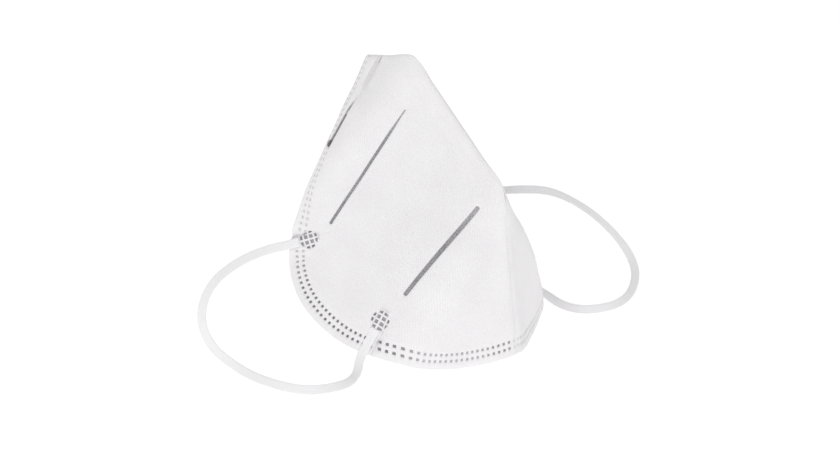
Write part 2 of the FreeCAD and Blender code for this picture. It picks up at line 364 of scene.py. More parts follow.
def on_edge(b):
    """Point, and inward direction, of the face edge at lengths b from the chin point."""
    point, ahead, behind = (
        np.stack([np.interp(at, EDGE_AT, EDGE[:, i]) for i in range(2)], -1)
        for at in (b, np.minimum(b + EDGE_LOOK, EDGE_LENGTH), np.maximum(b - EDGE_LOOK, 0))
    )
    tangent = ahead - behind
    tangent /= np.linalg.norm(tangent, axis=-1, keepdims=True)
    inward = np.stack([tangent[..., 1], -tangent[..., 0]], -1)
    chin_way = -heading(CHIN_TURN)
    nose_way = -heading(NOSE_TURN)
    near_chin = np.exp(-(b / SEAM_SWAY) ** 2)[..., None]
    near_nose = np.exp(-((EDGE_LENGTH - b) / SEAM_SWAY) ** 2)[..., None]
    inward = inward * (1 - near_chin - near_nose) + chin_way * near_chin + nose_way * near_nose
    return point, inward / np.linalg.norm(inward, axis=-1, keepdims=True)


# Weld dots: two rows round the face edge.  Columns of the mesh follow their sides.
DOT_PITCH = 2.8
DOT_HALF = 0.60
DOT_WALL = 0.12
DOT_SIDES = (            # from a dot's middle, and whether that place is pressed
    (-DOT_HALF - DOT_WALL, 0), (-DOT_HALF + DOT_WALL, 1),
    (DOT_HALF - DOT_WALL, 1), (DOT_HALF + DOT_WALL, 0),
)
DOT_ROWS = (3.8, 6.8)
OUTER_ROWS = (0.0, 0.45, 1.5)        # mesh rows between the face edge and the first dots
ROW_GAP = 1.5                        # from a dot row to the mesh row halfway to the next
BAND_END = 9.0
LAST_ROW = BAND_END - 0.5
DOT_COUNT = int(round(EDGE_LENGTH / DOT_PITCH))
NARROW_FROM, NARROW_TO, NARROW = 100.0, 62.0, 0.38   # the rows draw together beside the nose


def row_scale(b):
    """How close to the edge the dot rows lie: they draw in beside the nose."""
    return 1 - (1 - NARROW) * eased((NARROW_FROM - (EDGE_LENGTH - b)) / (NARROW_FROM - NARROW_TO))


def column_lengths():
    """Places of the mesh columns along the face edge, and which carry a dot."""
    pitch = EDGE_LENGTH / DOT_COUNT
    places, dots = [], []
    for i in range(DOT_COUNT):
        centre = (i + 0.5) * pitch
        for offset, dot in ((-pitch / 2, 0), *DOT_SIDES):
            places.append(centre + offset)
            dots.append(dot)
    places.append(EDGE_LENGTH)
    dots.append(0)
    return np.array(places), np.array(dots)


# How deep the weld dots are pressed and how much painted shade darkens their pits, by length along the
# face edge from the chin point.
DOT_DEPTH_AND_SHADE_TONES = (
    (0.0, 0.15), (2.5, 0.20), (4.0, 0.75), (12.0, 0.70), (20.0, 0.55), (50.0, 0.50), (62.0, 0.92),
    (118.0, 0.90), (130.0, 0.60), (137.0, 0.30), (160.0, 0.22),
)


def dot_depth_and_shade(b):
    knots = np.array(DOT_DEPTH_AND_SHADE_TONES)
    return np.interp(b, knots[:, 0], knots[:, 1])


def row_distances():
    """Places of the mesh rows in from the face edge, and which carry a dot."""
    places = [(place, 0) for place in OUTER_ROWS]
    for centre in DOT_ROWS:
        places += [(centre + offset, dot) for offset, dot in DOT_SIDES]
        places.append((centre + ROW_GAP, 0))
    places = places[:-1] + [(LAST_ROW, 0)]
    return np.array([p for p, _ in places]), np.array([d for _, d in places])


ROW_STEP_NEAR, ROWS_NEAR = 0.55, 26
ROWS_FAR = 74
# Where columns meet the ridge: share of the face edge, share of the ridge.
RIDGE_SHARE = ((0.0, 0.0), (0.22, 0.055), (0.46, 0.17), (0.62, 0.31), (0.78, 0.52), (1.0, 1.0))
RIDGE_BLUR, RIDGE_BLUR_REACH = 28.0, 60
COLUMN_LEAD = 0.9        # how strongly a column leaves square to the face edge
WELL_INSIDE = 99.0       # distance from the edge given to everything past the dot rows


def blank_grid():
    """Flat points of the whole blank, rows from face edge to ridge by columns from chin to nose."""
    b, column_dot = column_lengths()
    d, row_dot = row_distances()
    edge, inward = on_edge(b)
    portion = b / EDGE_LENGTH
    knots = np.array(RIDGE_SHARE)
    ridge_s = RIDGE * np.interp(portion, knots[:, 0], knots[:, 1])
    ridge_s = np.clip(blurred(ridge_s, RIDGE_BLUR, RIDGE_BLUR_REACH), 0, RIDGE)
    ridge = np.stack([ridge_s, np.zeros_like(ridge_s)], 1)
    scale = row_scale(b)
    band = edge[None] + inward[None] * (d[:, None] * scale[None])[..., None]
    start = edge + inward * (BAND_END * scale)[:, None]
    chord = ridge - start
    reach = np.linalg.norm(chord, axis=1)
    near_share = (np.arange(ROWS_NEAR) * ROW_STEP_NEAR)[:, None] / reach[None]
    limit = (np.arange(ROWS_NEAR) / (ROWS_NEAR + ROWS_FAR - 1))[:, None]
    short = near_share[-1] > limit[-1]
    near_share = np.where(short[None], limit, near_share)
    last = near_share[-1]
    far_share = last[None] + (1 - last[None]) * (np.arange(1, ROWS_FAR + 1) / ROWS_FAR)[:, None]
    rows = []
    for x in np.concatenate([near_share, far_share]):
        x = x[:, None]
        h00, h10 = 2 * x ** 3 - 3 * x ** 2 + 1, x ** 3 - 2 * x ** 2 + x
        h01, h11 = 1 - h00, x ** 3 - x ** 2
        lead = inward * (reach * COLUMN_LEAD)[:, None]
        rows.append(h00 * start + h10 * lead + h01 * ridge + h11 * chord)
    grid = np.concatenate([band, np.array(rows)])
    distance = np.full(grid.shape[:2], WELL_INSIDE)
    distance[: len(d)] = d[:, None]
    dots = np.zeros(grid.shape[:2])
    dots[: len(d)] = row_dot[:, None] * column_dot[None]
    return grid, distance, dots, dot_depth_and_shade(b)


GRID, FROM_EDGE, DOTS, DOT_DEPTH_AND_SHADE = blank_grid()
N_ROWS, N_COLUMNS = GRID.shape[:2]

# ---------------- pressed features, in the blank
RIBS = (                 # two ends, width, how thin it starts
    ((55.0, 16.5), (31.0, 72.5), 1.5, 0.45),
    ((-1.5, 14.0), (-16.5, 61.0), 2.0, 0.95),
)
# Inner side of the clip's channel: places along the nose edge from the bridge, and in from it.
CHANNEL_ALONG = (1.4, 24.1, 48.4)
CHANNEL_IN = (7.8, 5.2, 1.9)
CHANNEL_HEIGHT = 0.85
CHANNEL_ENDS = (0.5, 3.0, 46.5, 50.0)
GROOVE_TIGHTENS = (14.0, 27.0)       # places along the nose edge
SOFT_GROOVE = (0.80, 1.2, 1.9)       # depth, place past the channel, width
SHARP_GROOVE = (0.55, 0.45, 0.75)
PATCHES = ((30.3, 85.0, 72.0), (-20.0, 77.0, 117.0))     # upper and lower weld, way of the band
PATCH_RADIUS = 4.2
PATCH_PITCH = 2.45
PATCH_DOT = 0.80
PATCH_WALL = 0.2
VALLEY = ((62.6, 6.0), (3.9, 9.6))
# Share of the thickness that each pressing takes, and how far round it reaches.
SEAM_PRESS, SEAM_PRESS_REACH = 0.62, 1.6
BAND_PRESS = 0.12
DOT_PRESS = 0.74
RIB_PRESS, RIB_HALO, RIB_HALO_REACH = 0.66, 0.16, 3.0
VALLEY_PRESS, VALLEY_REACH = 0.16, 1.6
PATCH_DOT_PRESS, PATCH_PRESS = 0.70, 0.15
# An inner ply's mesh is coarse, so it is pressed wider, to stay under the cover.
COARSE_RIB, COARSE_PATCH = 1.5, 2.0
COARSE_PLEAT, COARSE_PLEAT_WIDER = 0.6, 1.6


def smooth(low, high, x):
    return eased((x - low) / (high - low))


def segment_distance(s, t, first, last):
    a, b = np.array(first, float), np.array(last, float)
    d = b - a
    x = np.clip(((s - a[0]) * d[0] + (t - a[1]) * d[1]) / d.dot(d), 0, 1)
    return np.hypot(s - a[0] - x * d[0], t - a[1] - x * d[1]), x


def patch_dots(s, t, patch):
    """The round grid pressed by the welding horn at the end of an elastic."""
    cs, ct, angle = patch
    along, across = heading(angle), heading(angle + 90)
    x = (s - cs) * along[0] + (t - ct) * along[1]
    y = (s - cs) * across[0] + (t - ct) * across[1]
    inside = 1 - smooth(PATCH_RADIUS - PATCH_WALL, PATCH_RADIUS + PATCH_WALL, np.hypot(x, y))
    dot = 1.0
    for away in (x, y):
        off = np.abs((away / PATCH_PITCH) % 1 - 0.5) * PATCH_PITCH
        dot = dot * (1 - smooth(PATCH_DOT - PATCH_WALL, PATCH_DOT + PATCH_WALL, off))
    return inside * dot, inside


def pressed(s, t, from_edge, dots, coarse=False):
    """Share of the plies' thickness left, from 1 where lofty to 0 where melted through."""
    spare = COARSE_RIB if coarse else 0.0
    keep = np.ones_like(s)
    seam = seam_distance(s, t)
    keep *= 1 - SEAM_PRESS * np.exp(-(seam / SEAM_PRESS_REACH) ** 2)
    keep *= 1 - BAND_PRESS * smooth(1.2, 2.6, from_edge) * (1 - smooth(8.0, 8.9, from_edge))
    keep *= 1 - BAND_PRESS * (1 - smooth(0.0, 1.2, from_edge))
    keep *= 1 - DOT_PRESS * dots
    for first, last, width, thin in RIBS:
        d, along = segment_distance(s, t, first, last)
        half = width / 2 * (thin + (1 - thin) * smooth(0.0, 0.25, along)) + spare
        keep *= 1 - RIB_PRESS * (1 - smooth(half - 0.25, half + 0.35, d))
        keep *= 1 - RIB_HALO * np.exp(-(d / RIB_HALO_REACH) ** 2)
    d, _ = segment_distance(s, t, *VALLEY)
    keep *= 1 - VALLEY_PRESS * np.exp(-(d / VALLEY_REACH) ** 2)
    for patch in PATCHES:
        dot, inside = patch_dots(s, t, patch)
        if coarse:
            away = np.hypot(s - patch[0], t - patch[1])
            dot = 1 - smooth(PATCH_RADIUS, PATCH_RADIUS + COARSE_PATCH, away)
        keep *= (1 - PATCH_DOT_PRESS * dot) * (1 - PATCH_PRESS * inside)
    if coarse:
        for pleat in PLEATS:
            keep *= 1 - COARSE_PLEAT * pleat_shape(s, t, pleat, COARSE_PLEAT_WIDER)
    return keep


NOSE_WAY = unit(np.array(NOSE_SIDE) - BRIDGE_POINT)
NOSE_IN = np.array([-NOSE_WAY[1], NOSE_WAY[0]])


def channel_lift(s, t):
    """Height of the closed channel over the nose clip, and the groove along its inner side."""
    along = (s - BRIDGE_POINT[0]) * NOSE_WAY[0] + (t - BRIDGE_POINT[1]) * NOSE_WAY[1]
    inward = (t - BRIDGE_POINT[1]) * NOSE_WAY[0] - (s - BRIDGE_POINT[0]) * NOSE_WAY[1]
    past = np.abs(inward) - np.interp(along, CHANNEL_ALONG, CHANNEL_IN)
    rise_low, rise_high, fall_low, fall_high = CHANNEL_ENDS
    ends = smooth(rise_low, rise_high, along) * (1 - smooth(fall_low, fall_high, along))
    raised = smooth(0.6, 1.4, np.abs(inward)) * (1 - smooth(-0.5, 0.2, past))
    sharpness = smooth(*GROOVE_TIGHTENS, along)
    soft_depth, soft_place, soft_width = SOFT_GROOVE
    sharp_depth, sharp_place, sharp_width = SHARP_GROOVE
    soft = np.exp(-((past - soft_place) / soft_width) ** 2) * (1 - sharpness)
    sharp = np.exp(-((past - sharp_place) / sharp_width) ** 2) * sharpness
    return ends * (CHANNEL_HEIGHT * raised - soft_depth * soft - sharp_depth * sharp)


SEAM_BLEND = 3.0         # over which one seam's direction gives way to the next
SEAM_LEAN = 2.4          # over which the plies' edges lean into a seam
SEAM_ROUND = 16.0        # over which the cloth rounds down to a seam
ROUND_AT_TIP, ROUND_AT_CHIN, CHIN_REACH = 0.7, 2.6, 60.0


def seam_weights(s, t):
    return [np.exp(-(d / SEAM_BLEND) ** 2) + 1e-9 for d in seam_distances(s, t)]


def surface(s, t, from_edge, dots, level, lift=0.0, coarse=False):
    """Left-half points at a level of the ply stack, from 0 inside to STACK outside."""
    base = spread(s, t)
    normal = outward_normal(s, t)
    weights = seam_weights(s, t)
    out = sum(w[..., None] * o for w, o in zip(weights, SEAM_OUT))
    out /= np.linalg.norm(out, axis=-1, keepdims=True)
    facing = np.maximum((out * normal).sum(-1), 0.3)
    seam = seam_distance(s, t)
    lean = np.exp(-(seam / SEAM_LEAN) ** 2)[..., None]
    rise = normal * (1 - lean) + out / facing[..., None] * lean
    keep = pressed(s, t, from_edge, dots, coarse)
    height = STACK / 2 + (level - STACK / 2) * keep + lift
    soft = ROUND_AT_TIP + ROUND_AT_CHIN * np.clip(-s / CHIN_REACH, 0, 1)
    points = base + rise * height[..., None]
    x = np.abs(points[..., 0])
    flatter = (np.sqrt(x * x + soft * soft) - x) * np.abs(normal[..., 0]) / facing
    near = np.exp(-(seam / SEAM_ROUND) ** 2)
    return points - out * (flatter * near)[..., None]


SEAM_PULL = 6.0          # over which a sheet is drawn to the middle plane
RIDGE_RULES = 3.0        # over which the ridge's own pull is the only one
HALF_GAP = 0.02


def closed_at_middle(points, s, t):
    """Draws the seam sides of a whole-blank grid onto the middle plane."""
    ridge, chin, nose = seam_distances(s, t)
    x = points[..., 0]
    off_ridge = 1 - np.exp(-(ridge / RIDGE_RULES) ** 2)
    pull = x[-1][None] * np.exp(-(ridge / SEAM_PULL) ** 2)
    pull = pull + x[:, :1] * np.exp(-(chin / SEAM_PULL) ** 2) * off_ridge
    pull = pull + x[:, -1:] * np.exp(-(nose / SEAM_PULL) ** 2) * off_ridge
    points = points.copy()
    points[..., 0] = np.minimum(x - pull, -HALF_GAP)
    return points


# ---------------- meshes
def add_mesh(name, points, faces, smooth_faces=True):
    mesh = bpy.data.meshes.new(name)
    mesh.vertices.add(len(points))
    mesh.vertices.foreach_set("co", np.asarray(points, np.float32).ravel())
    faces = np.asarray(faces, np.int32)
    mesh.loops.add(faces.size)
    mesh.loops.foreach_set("vertex_index", faces.ravel())
    mesh.polygons.add(len(faces))
    mesh.polygons.foreach_set("loop_start", np.arange(len(faces), dtype=np.int32) * 4)
    mesh.update(calc_edges=True)
    mesh.polygons.foreach_set("use_smooth", np.full(len(faces), smooth_faces))
    mesh.validate()
    return added(name, mesh)


def grid_faces(rows, columns, start=0):
    i = start + np.arange(rows * columns).reshape(rows, columns)
    return np.stack([i[:-1, :-1], i[:-1, 1:], i[1:, 1:], i[1:, :-1]], -1).reshape(-1, 4)


def rim(rows, columns):
    """Vertex numbers round a grid, in order."""
    i = np.arange(rows * columns).reshape(rows, columns)
    return np.concatenate([i[0, :-1], i[:-1, -1], i[-1, :0:-1], i[:0:-1, 0]])


def set_attribute(mesh, name, kind, values, key):
    attribute = mesh.attributes.new(name, kind, "POINT")
    attribute.data.foreach_set(key, np.asarray(values, np.float32).ravel())


def shell(name, low, high, flat, dots, mirrored):
    """A closed sheet between two grids of points in millimetres."""
    rows, columns = low.shape[:2]
    count = rows * columns
    points = np.concatenate([low.reshape(-1, 3), high.reshape(-1, 3)]) * MM
    border = rim(rows, columns)
    after = np.roll(border, -1)
    top = grid_faces(rows, columns, count)
    bottom = grid_faces(rows, columns)[:, ::-1]
    sides = np.stack([border, after, after + count, border + count], 1)[:, ::-1]
    faces = np.concatenate([top, bottom, sides])
    if mirrored:
        points[:, 0] *= -1
    else:
        faces = faces[:, ::-1]
    piece = add_mesh(name, points, faces)
    mesh = piece.data
    on_rim = np.zeros(2 * count, bool)
    on_rim[border] = True
    on_rim[border + count] = True
    ends = np.zeros(len(mesh.edges) * 2, np.int32)
    mesh.edges.foreach_get("vertices", ends)
    ends = ends.reshape(-1, 2)
    sharp = on_rim[ends[:, 0]] & on_rim[ends[:, 1]] & ((ends[:, 0] < count) == (ends[:, 1] < count))
    mesh.attributes.new("sharp_edge", "BOOLEAN", "EDGE").data.foreach_set("value", sharp)
    flat3 = np.concatenate([flat.reshape(-1, 2) * MM, np.zeros((count, 1))], 1)
    set_attribute(mesh, "blank_place", "FLOAT_VECTOR", np.concatenate([flat3, flat3]), "vector")
    set_attribute(mesh, "weld", "FLOAT", np.concatenate([dots.ravel(), dots.ravel()]), "value")
    return piece


SPLIT = 5 * int(round(0.50 * DOT_COUNT))     # column where the chin and nose pieces meet
COARSE = 3                                   # the middle plies keep every third row and column
BAND_PRESSED_FROM = 2.4                      # the coarse plies are pressed all along the dot rows


def flat_measures(flat):
    """Width, length and area of a stretch of the blank, in metres."""
    size = (flat.reshape(-1, 2).max(0) - flat.reshape(-1, 2).min(0)) * MM
    border = flat.reshape(-1, 2)[rim(*flat.shape[:2])]
    nxt = np.roll(border, -1, 0)
    area = abs((border[:, 0] * nxt[:, 1] - border[:, 1] * nxt[:, 0]).sum()) / 2 * MM * MM
    return (float(size[1]), float(size[0])), float(area)


def in_metres(p, mirrored):
    """A point of the left half in millimetres, or its mirror image, in metres."""
    return (float(-p[0] if mirrored else p[0]) * MM, float(p[1]) * MM, float(p[2]) * MM)


def thinned_out(count, step):
    picked = list(range(0, count, step))
    if picked[-1] != count - 1:
        picked.append(count - 1)
    return np.array(picked)


def build_plies(materials):
    """Both halves of every ply, each in a nose piece and a chin piece that meet in the cheek."""
    s, t = GRID[..., 0], GRID[..., 1]
    lift = channel_lift(s, t)
    level = 0.0
    for ply, thickness, slot in PLIES:
        fine = ply in ("lining", "outer_cover")
        whole_band = np.where(FROM_EDGE < BAND_END, (FROM_EDGE > BAND_PRESSED_FROM) * 1.0, 0.0)
        dots = (DOTS if fine else whole_band) * (0.4 + 0.6 * DOT_DEPTH_AND_SHADE)
        raised = lift if ply == "outer_cover" else np.minimum(lift, 0.0) * (level / STACK)
        low, high = (
            closed_at_middle(surface(s, t, FROM_EDGE, dots, at, raised, not fine), s, t)
            for at in (level, level + thickness)
        )
        row_pick = np.arange(N_ROWS) if fine else thinned_out(N_ROWS, COARSE)
        for part, first, last in (("chin", 0, SPLIT), ("nose", SPLIT, N_COLUMNS - 1)):
            column_pick = np.arange(first, last + 1)
            if not fine:
                column_pick = first + thinned_out(last - first + 1, COARSE)
            pick = np.ix_(row_pick, column_pick)
            for side, mirrored in (("left", False), ("right", True)):
                name = f"{side}_{part}_side_{ply}"
                # The weld attribute holds the dots scaled by the painted shade of their pits.
                piece = shell(name, low[pick], high[pick], GRID[pick], (DOTS * DOT_DEPTH_AND_SHADE)[pick], mirrored)
                piece.data.materials.append(materials[slot])
                start, end = (CHIN_START, CHIN_END) if part == "chin" else (NOSE_START, NOSE_END)
                in_metres(start, mirrored)
                in_metres(end, mirrored)
                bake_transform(piece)
                nodes = [f"{side}_{part}_{ply}"] + ([f"{side}_cheek_{ply}"] if part == "chin" else [])
                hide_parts(*nodes)
                flat_size, area = flat_measures(GRID[pick])
        level += thickness


# ---------------- elastic
BAND_WIDTH = 4.2
BAND_THICKNESS = 1.0
LEFT_LOOP_ROUTE = (
    (-0.0564, 0.0371, 0.0529), (-0.0591, 0.0404, 0.0514), (-0.0650, 0.0457, 0.0502),
    (-0.0735, 0.0505, 0.0480), (-0.0825, 0.0540, 0.0445), (-0.0915, 0.0570, 0.0390),
    (-0.0985, 0.0575, 0.0305), (-0.1020, 0.0550, 0.0205), (-0.1005, 0.0490, 0.0105),
    (-0.0970, 0.0400, 0.0044), (-0.0970, 0.0300, 0.0024), (-0.0975, 0.0180, 0.0023),
    (-0.0965, 0.0065, 0.0024), (-0.0925, -0.0025, 0.0023), (-0.0840, -0.0080, 0.0024),
    (-0.0750, -0.0097, 0.0024), (-0.0675, -0.0075, 0.0040), (-0.0640, -0.0055, 0.0085),
    (-0.0613, -0.0059, 0.0126), (-0.0583, -0.0072, 0.0176), (-0.0559, -0.0080, 0.0215),
)
RIGHT_LOOP_ROUTE = (
    (0.0564, 0.0371, 0.0529), (0.0591, 0.0404, 0.0514), (0.0635, 0.0455, 0.0505),
    (0.0695, 0.0480, 0.0490), (0.0765, 0.0410, 0.0474), (0.0795, 0.0300, 0.0476),
    (0.0845, 0.0170, 0.0498), (0.0930, 0.0060, 0.0495), (0.1015, -0.0050, 0.0435),
    (0.1080, -0.0165, 0.0345), (0.1125, -0.0280, 0.0225), (0.1100, -0.0375, 0.0120),
    (0.0990, -0.0425, 0.0044), (0.0850, -0.0440, 0.0023), (0.0730, -0.0410, 0.0024),
    (0.0645, -0.0345, 0.0026), (0.0628, -0.0250, 0.0034), (0.0638, -0.0165, 0.0055),
    (0.0634, -0.0095, 0.0092), (0.0613, -0.0059, 0.0130), (0.0583, -0.0072, 0.0176),
    (0.0559, -0.0080, 0.0215),
)


def spline_points(name, route):
    """Points of the smooth line that an elastic follows."""
    curve = bpy.data.curves.new(name, "CURVE")
    curve.dimensions = "3D"
    spline = curve.splines.new("NURBS")
    spline.points.add(len(route) - 1)
    for point, place in zip(spline.points, route):
        point.co = (*place, 1.0)
    spline.order_u = 3
    spline.use_endpoint_u = True
    spline.resolution_u = 14
    holder = added(name, curve)
    bpy.context.view_layer.update()
    mesh = bpy.data.meshes.new_from_object(holder)
    points = np.array([v.co for v in mesh.vertices], float)
    bpy.data.objects.remove(holder)
    bpy.data.curves.remove(curve)
    bpy.data.meshes.remove(mesh)
    return points


BAND_RIBS = 6
BAND_AROUND = 30


def band_section():
    """Flat elastic in section: rounded edges and fine lengthwise ribs, in millimetres."""
    angles = np.linspace(0, 2 * math.pi, BAND_AROUND * 2, endpoint=False)
    across = np.sign(np.cos(angles)) * np.abs(np.cos(angles)) ** 0.55 * BAND_WIDTH / 2
    thick = np.sign(np.sin(angles)) * np.abs(np.sin(angles)) ** 0.45 * BAND_THICKNESS / 2
    ribbed = 1 - 0.10 * (0.5 + 0.5 * np.cos(across / BAND_WIDTH * 2 * math.pi * BAND_RIBS))
    return across, thick * ribbed


def flat_band(name, route, facings, materials):
    """Elastic swept along its route; facings are (share of its length, way its flat side faces)."""
    path = spline_points(name + "_line", route)
    at = lengths_along(path)
    total = at[-1]
    tangent = np.gradient(path, at, axis=0)
    tangent /= np.linalg.norm(tangent, axis=1, keepdims=True)
    keys = np.array([k for k, _ in facings])
    ways = np.array([unit(w) for _, w in facings])
    facing = np.stack([np.interp(at / total, keys, ways[:, i]) for i in range(3)], 1)
    facing -= (facing * tangent).sum(1, keepdims=True) * tangent
    facing /= np.linalg.norm(facing, axis=1, keepdims=True)
    side = np.cross(tangent, facing)
    across, thick = band_section()
    section = side[:, None] * across[None, :, None] + facing[:, None] * thick[None, :, None]
    rings = path[:, None] + section * MM
    rows, around = rings.shape[:2]
    i = np.arange(rows * around).reshape(rows, around)
    j = np.roll(i, -1, 1)
    faces = np.stack([i[:-1], i[1:], j[1:], j[:-1]], -1).reshape(-1, 4)
    caps = []
    for ring, flip in ((i[0], False), (i[-1], True)):
        for k in range(around // 2 - 1):
            quad = [ring[k], ring[k + 1], ring[around - 2 - k], ring[around - 1 - k]]
            caps.append(quad[::-1] if flip else quad)
    piece = add_mesh(name, rings.reshape(-1, 3), np.concatenate([faces, np.array(caps)]))
    place = np.stack([
        np.broadcast_to(at[:, None], (rows, around)),
        np.broadcast_to(across[None] * MM, (rows, around)),
        np.broadcast_to(thick[None] * MM, (rows, around)),
    ], -1)
    set_attribute(piece.data, "band_place", "FLOAT_VECTOR", place, "vector")
    piece.data.materials.append(materials["elastic"])
    side_name = name.split("_")[0]
    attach(piece, f"{side_name}_ear_loop")
    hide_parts(f"{side_name}_ear_loop")


END_LENGTH = 9.0
END_SUNK = 0.05          # how far the end of an elastic is sunk in the cover
END_THINNEST = 0.12


def band_end(side, which, patch, mirrored, materials):
    """The end of an elastic, welded flat on the cover by the horn's round grid."""
    cs, ct, angle = patch
    along, across = heading(angle), heading(angle + 90)
    x = np.linspace(-END_LENGTH / 2, END_LENGTH / 2, 46)[:, None]
    y = np.linspace(-BAND_WIDTH / 2, BAND_WIDTH / 2, 25)[None, :]
    x, y = np.broadcast_arrays(x, y)
    s = cs + x * along[0] + y * across[0]
    t = ct + x * along[1] + y * across[1]
    far = np.full_like(s, WELL_INSIDE)
    none = np.zeros_like(s)
    below = surface(s, t, far, none, STACK)
    normal = outward_normal(s, t)
    dot, inside = patch_dots(s, t, patch)
    edge = np.sqrt(np.clip(1 - (2 * np.abs(y) / BAND_WIDTH) ** 8, 0, 1))
    ribs = 1 - 0.08 * (0.5 + 0.5 * np.cos(y / BAND_WIDTH * 2 * math.pi * BAND_RIBS)) * (1 - inside)
    height = BAND_THICKNESS * edge * ribs * (1 - 0.62 * dot) * (1 - 0.30 * inside)
    above = below + normal * np.maximum(height, END_THINNEST)[..., None]
    below = below - normal * END_SUNK
    name = f"{side}_{which}_elastic_end"
    piece = shell(name, below, above, np.stack([s, t], -1), dot, mirrored)
    place = np.stack([x * MM, y * MM, height * MM], -1).reshape(-1, 3)
    set_attribute(piece.data, "band_place", "FLOAT_VECTOR", np.concatenate([place, place]), "vector")
    piece.data.materials.append(materials["elastic"])
    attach(piece, f"{side}_cheek")
    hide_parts(f"{side}_{which}_band_end")


# ---------------- nose clip
CLIP_WING = 44.0
CLIP_WIDTH = 4.0
CLIP_THICKNESS = 0.8
CLIP_INSET = 1.4
CLIP_FROM_SEAM = 2.6
CLIP_UNDER = 0.15        # from the cover down to the clip
WIRE_PLACES, WIRE_WIDTH = (0.16, 0.84), 0.1      # shares of the clip's width


def clip_wing(side, mirrored, materials):
    """One wing of the coated wire strip, inside the channel."""
    x = np.linspace(CLIP_FROM_SEAM, CLIP_FROM_SEAM + CLIP_WING, 90)[:, None]
    y = np.linspace(CLIP_INSET, CLIP_INSET + CLIP_WIDTH, 13)[None, :]
    x, y = np.broadcast_arrays(x, y)
    s = BRIDGE_POINT[0] + x * NOSE_WAY[0] + y * NOSE_IN[0]
    t = BRIDGE_POINT[1] + x * NOSE_WAY[1] + y * NOSE_IN[1]
    base = spread(s, t)
    normal = outward_normal(s, t)
    middle = (y - CLIP_INSET) / CLIP_WIDTH
    wires = 0.5 * sum(np.exp(-((middle - place) / WIRE_WIDTH) ** 2) for place in WIRE_PLACES)
    under_cover = STACK - PLIES[-1][1] + channel_lift(s, t) - CLIP_UNDER
    thick = CLIP_THICKNESS * (0.55 + 0.45 * wires)
    high = base + normal * under_cover[..., None]
    low = base + normal * np.maximum(under_cover - thick, PLIES[0][1])[..., None]
    piece = shell(f"{side}_clip_strip", low, high, np.stack([s, t], -1), np.zeros_like(s), mirrored)
    piece.data.materials.append(materials["clip_strip"])
    in_metres(NOSE_START, mirrored)
    in_metres(NOSE_END, mirrored)
    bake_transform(piece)
    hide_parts(f"{side}_nose_clip_wing")


# ---------------- materials
class Value:
    """A shader socket that can be reckoned with: each operation adds its Math node."""

    def __init__(self, tree, socket):
        self.tree = tree
        self.socket = socket

    def math(self, operation, *others):
        node = self.tree.nodes.new("ShaderNodeMath")
        node.operation = operation
        for slot, value in zip(node.inputs, (self, *others)):
            plug(self.tree, slot, value)
        return Value(self.tree, node.outputs[0])

    def __add__(self, other):
        return self.math("ADD", other)

    __radd__ = __add__

    def __sub__(self, other):
        return self.math("SUBTRACT", other)

    def __rsub__(self, other):
        return self.math("MULTIPLY", -1.0).math("ADD", other)

    def __mul__(self, other):
        return self.math("MULTIPLY", other)

    __rmul__ = __mul__

    def __truediv__(self, other):
        return self.math("DIVIDE", other)

    def fraction(self):
        return self.math("FRACT")

    def size(self):
        return self.math("ABSOLUTE")

    def root(self):
        return self.math("SQRT")

    def at_least(self, other):
        return self.math("MAXIMUM", other)

    def at_most(self, other):
        return self.math("MINIMUM", other)

    def step(self, low, high):
        """0 below low, 1 above high, smooth between."""
        node = self.tree.nodes.new("ShaderNodeMapRange")
        node.interpolation_type = "SMOOTHSTEP"
        for key, value in (("Value", self), ("From Min", low), ("From Max", high)):
            plug(self.tree, node.inputs[key], value)
        return Value(self.tree, node.outputs[0])


def plug(tree, slot, value):
    if isinstance(value, Value):
        tree.links.new(value.socket, slot)
    else:
        slot.default_value = value


class Finish:
    """A material under construction."""

    def __init__(self, name, colour, roughness, **constants):
        self.material = bpy.data.materials.new(name)
        self.material.use_nodes = True
        self.tree = self.material.node_tree
        self.shader = self.tree.nodes["Principled BSDF"]
        self.shader.inputs["Base Color"].default_value = (*colour, 1.0)
        self.shader.inputs["Roughness"].default_value = roughness
        for key, value in constants.items():
            self.shader.inputs[key.replace("_", " ")].default_value = value

    def node(self, kind, output=0, settings=(), **sockets):
        """Any node: its settings first, then the values or links of its sockets."""
        made = self.tree.nodes.new("ShaderNode" + kind)
        for key, value in dict(settings).items():
            setattr(made, key, value)
        for key, value in sockets.items():
            plug(self.tree, made.inputs[key.replace("_", " ")], value)
        return Value(self.tree, made.outputs[output])

    def attribute(self, name, output="Vector"):
        return self.node("Attribute", output, settings={"attribute_name": name})

    def parts(self, vector):
        made = self.tree.nodes.new("ShaderNodeSeparateXYZ")
        plug(self.tree, made.inputs[0], vector)
        return [Value(self.tree, made.outputs[i]) for i in range(3)]

    def noise(self, vector, scale, detail=3.0, roughness=0.5, distortion=0.0):
        return self.node(
            "TexNoise", 0, Vector=vector, Scale=scale, Detail=detail,
            Roughness=roughness, Distortion=distortion,
        )

    def mixed(self, factor, first, second):
        made = self.tree.nodes.new("ShaderNodeMix")
        made.data_type = "RGBA"
        plug(self.tree, made.inputs["Factor"], factor)
        for slot, colour in ((made.inputs[6], first), (made.inputs[7], second)):
            plug(self.tree, slot, colour if isinstance(colour, Value) else (*colour, 1.0))
        return Value(self.tree, made.outputs[2])

    def set(self, **values):
        for key, value in values.items():
            plug(self.tree, self.shader.inputs[key.replace("_", " ")], value)

    def bump(self, height, strength, distance):
        self.set(Normal=self.node("Bump", 0, Strength=strength, Distance=distance, Height=height))


def fibre_web(finish, place, scale, width):
    """Fine crossing fibres: the zero lines of two slow noises."""
    lines = None
    for shift in (0.0, 3.7):
        moved = finish.node("VectorMath", 0, settings={"operation": "ADD"})
        plug(finish.tree, moved.socket.node.inputs[0], place)
        moved.socket.node.inputs[1].default_value = (shift, shift * 0.6, 0.0)
        field = finish.noise(moved, scale, 4.0, 0.62, 0.6)
        line = 1 - (field - 0.5).size().step(0.0, width)
        lines = line if lines is None else lines.at_least(line)
    return lines


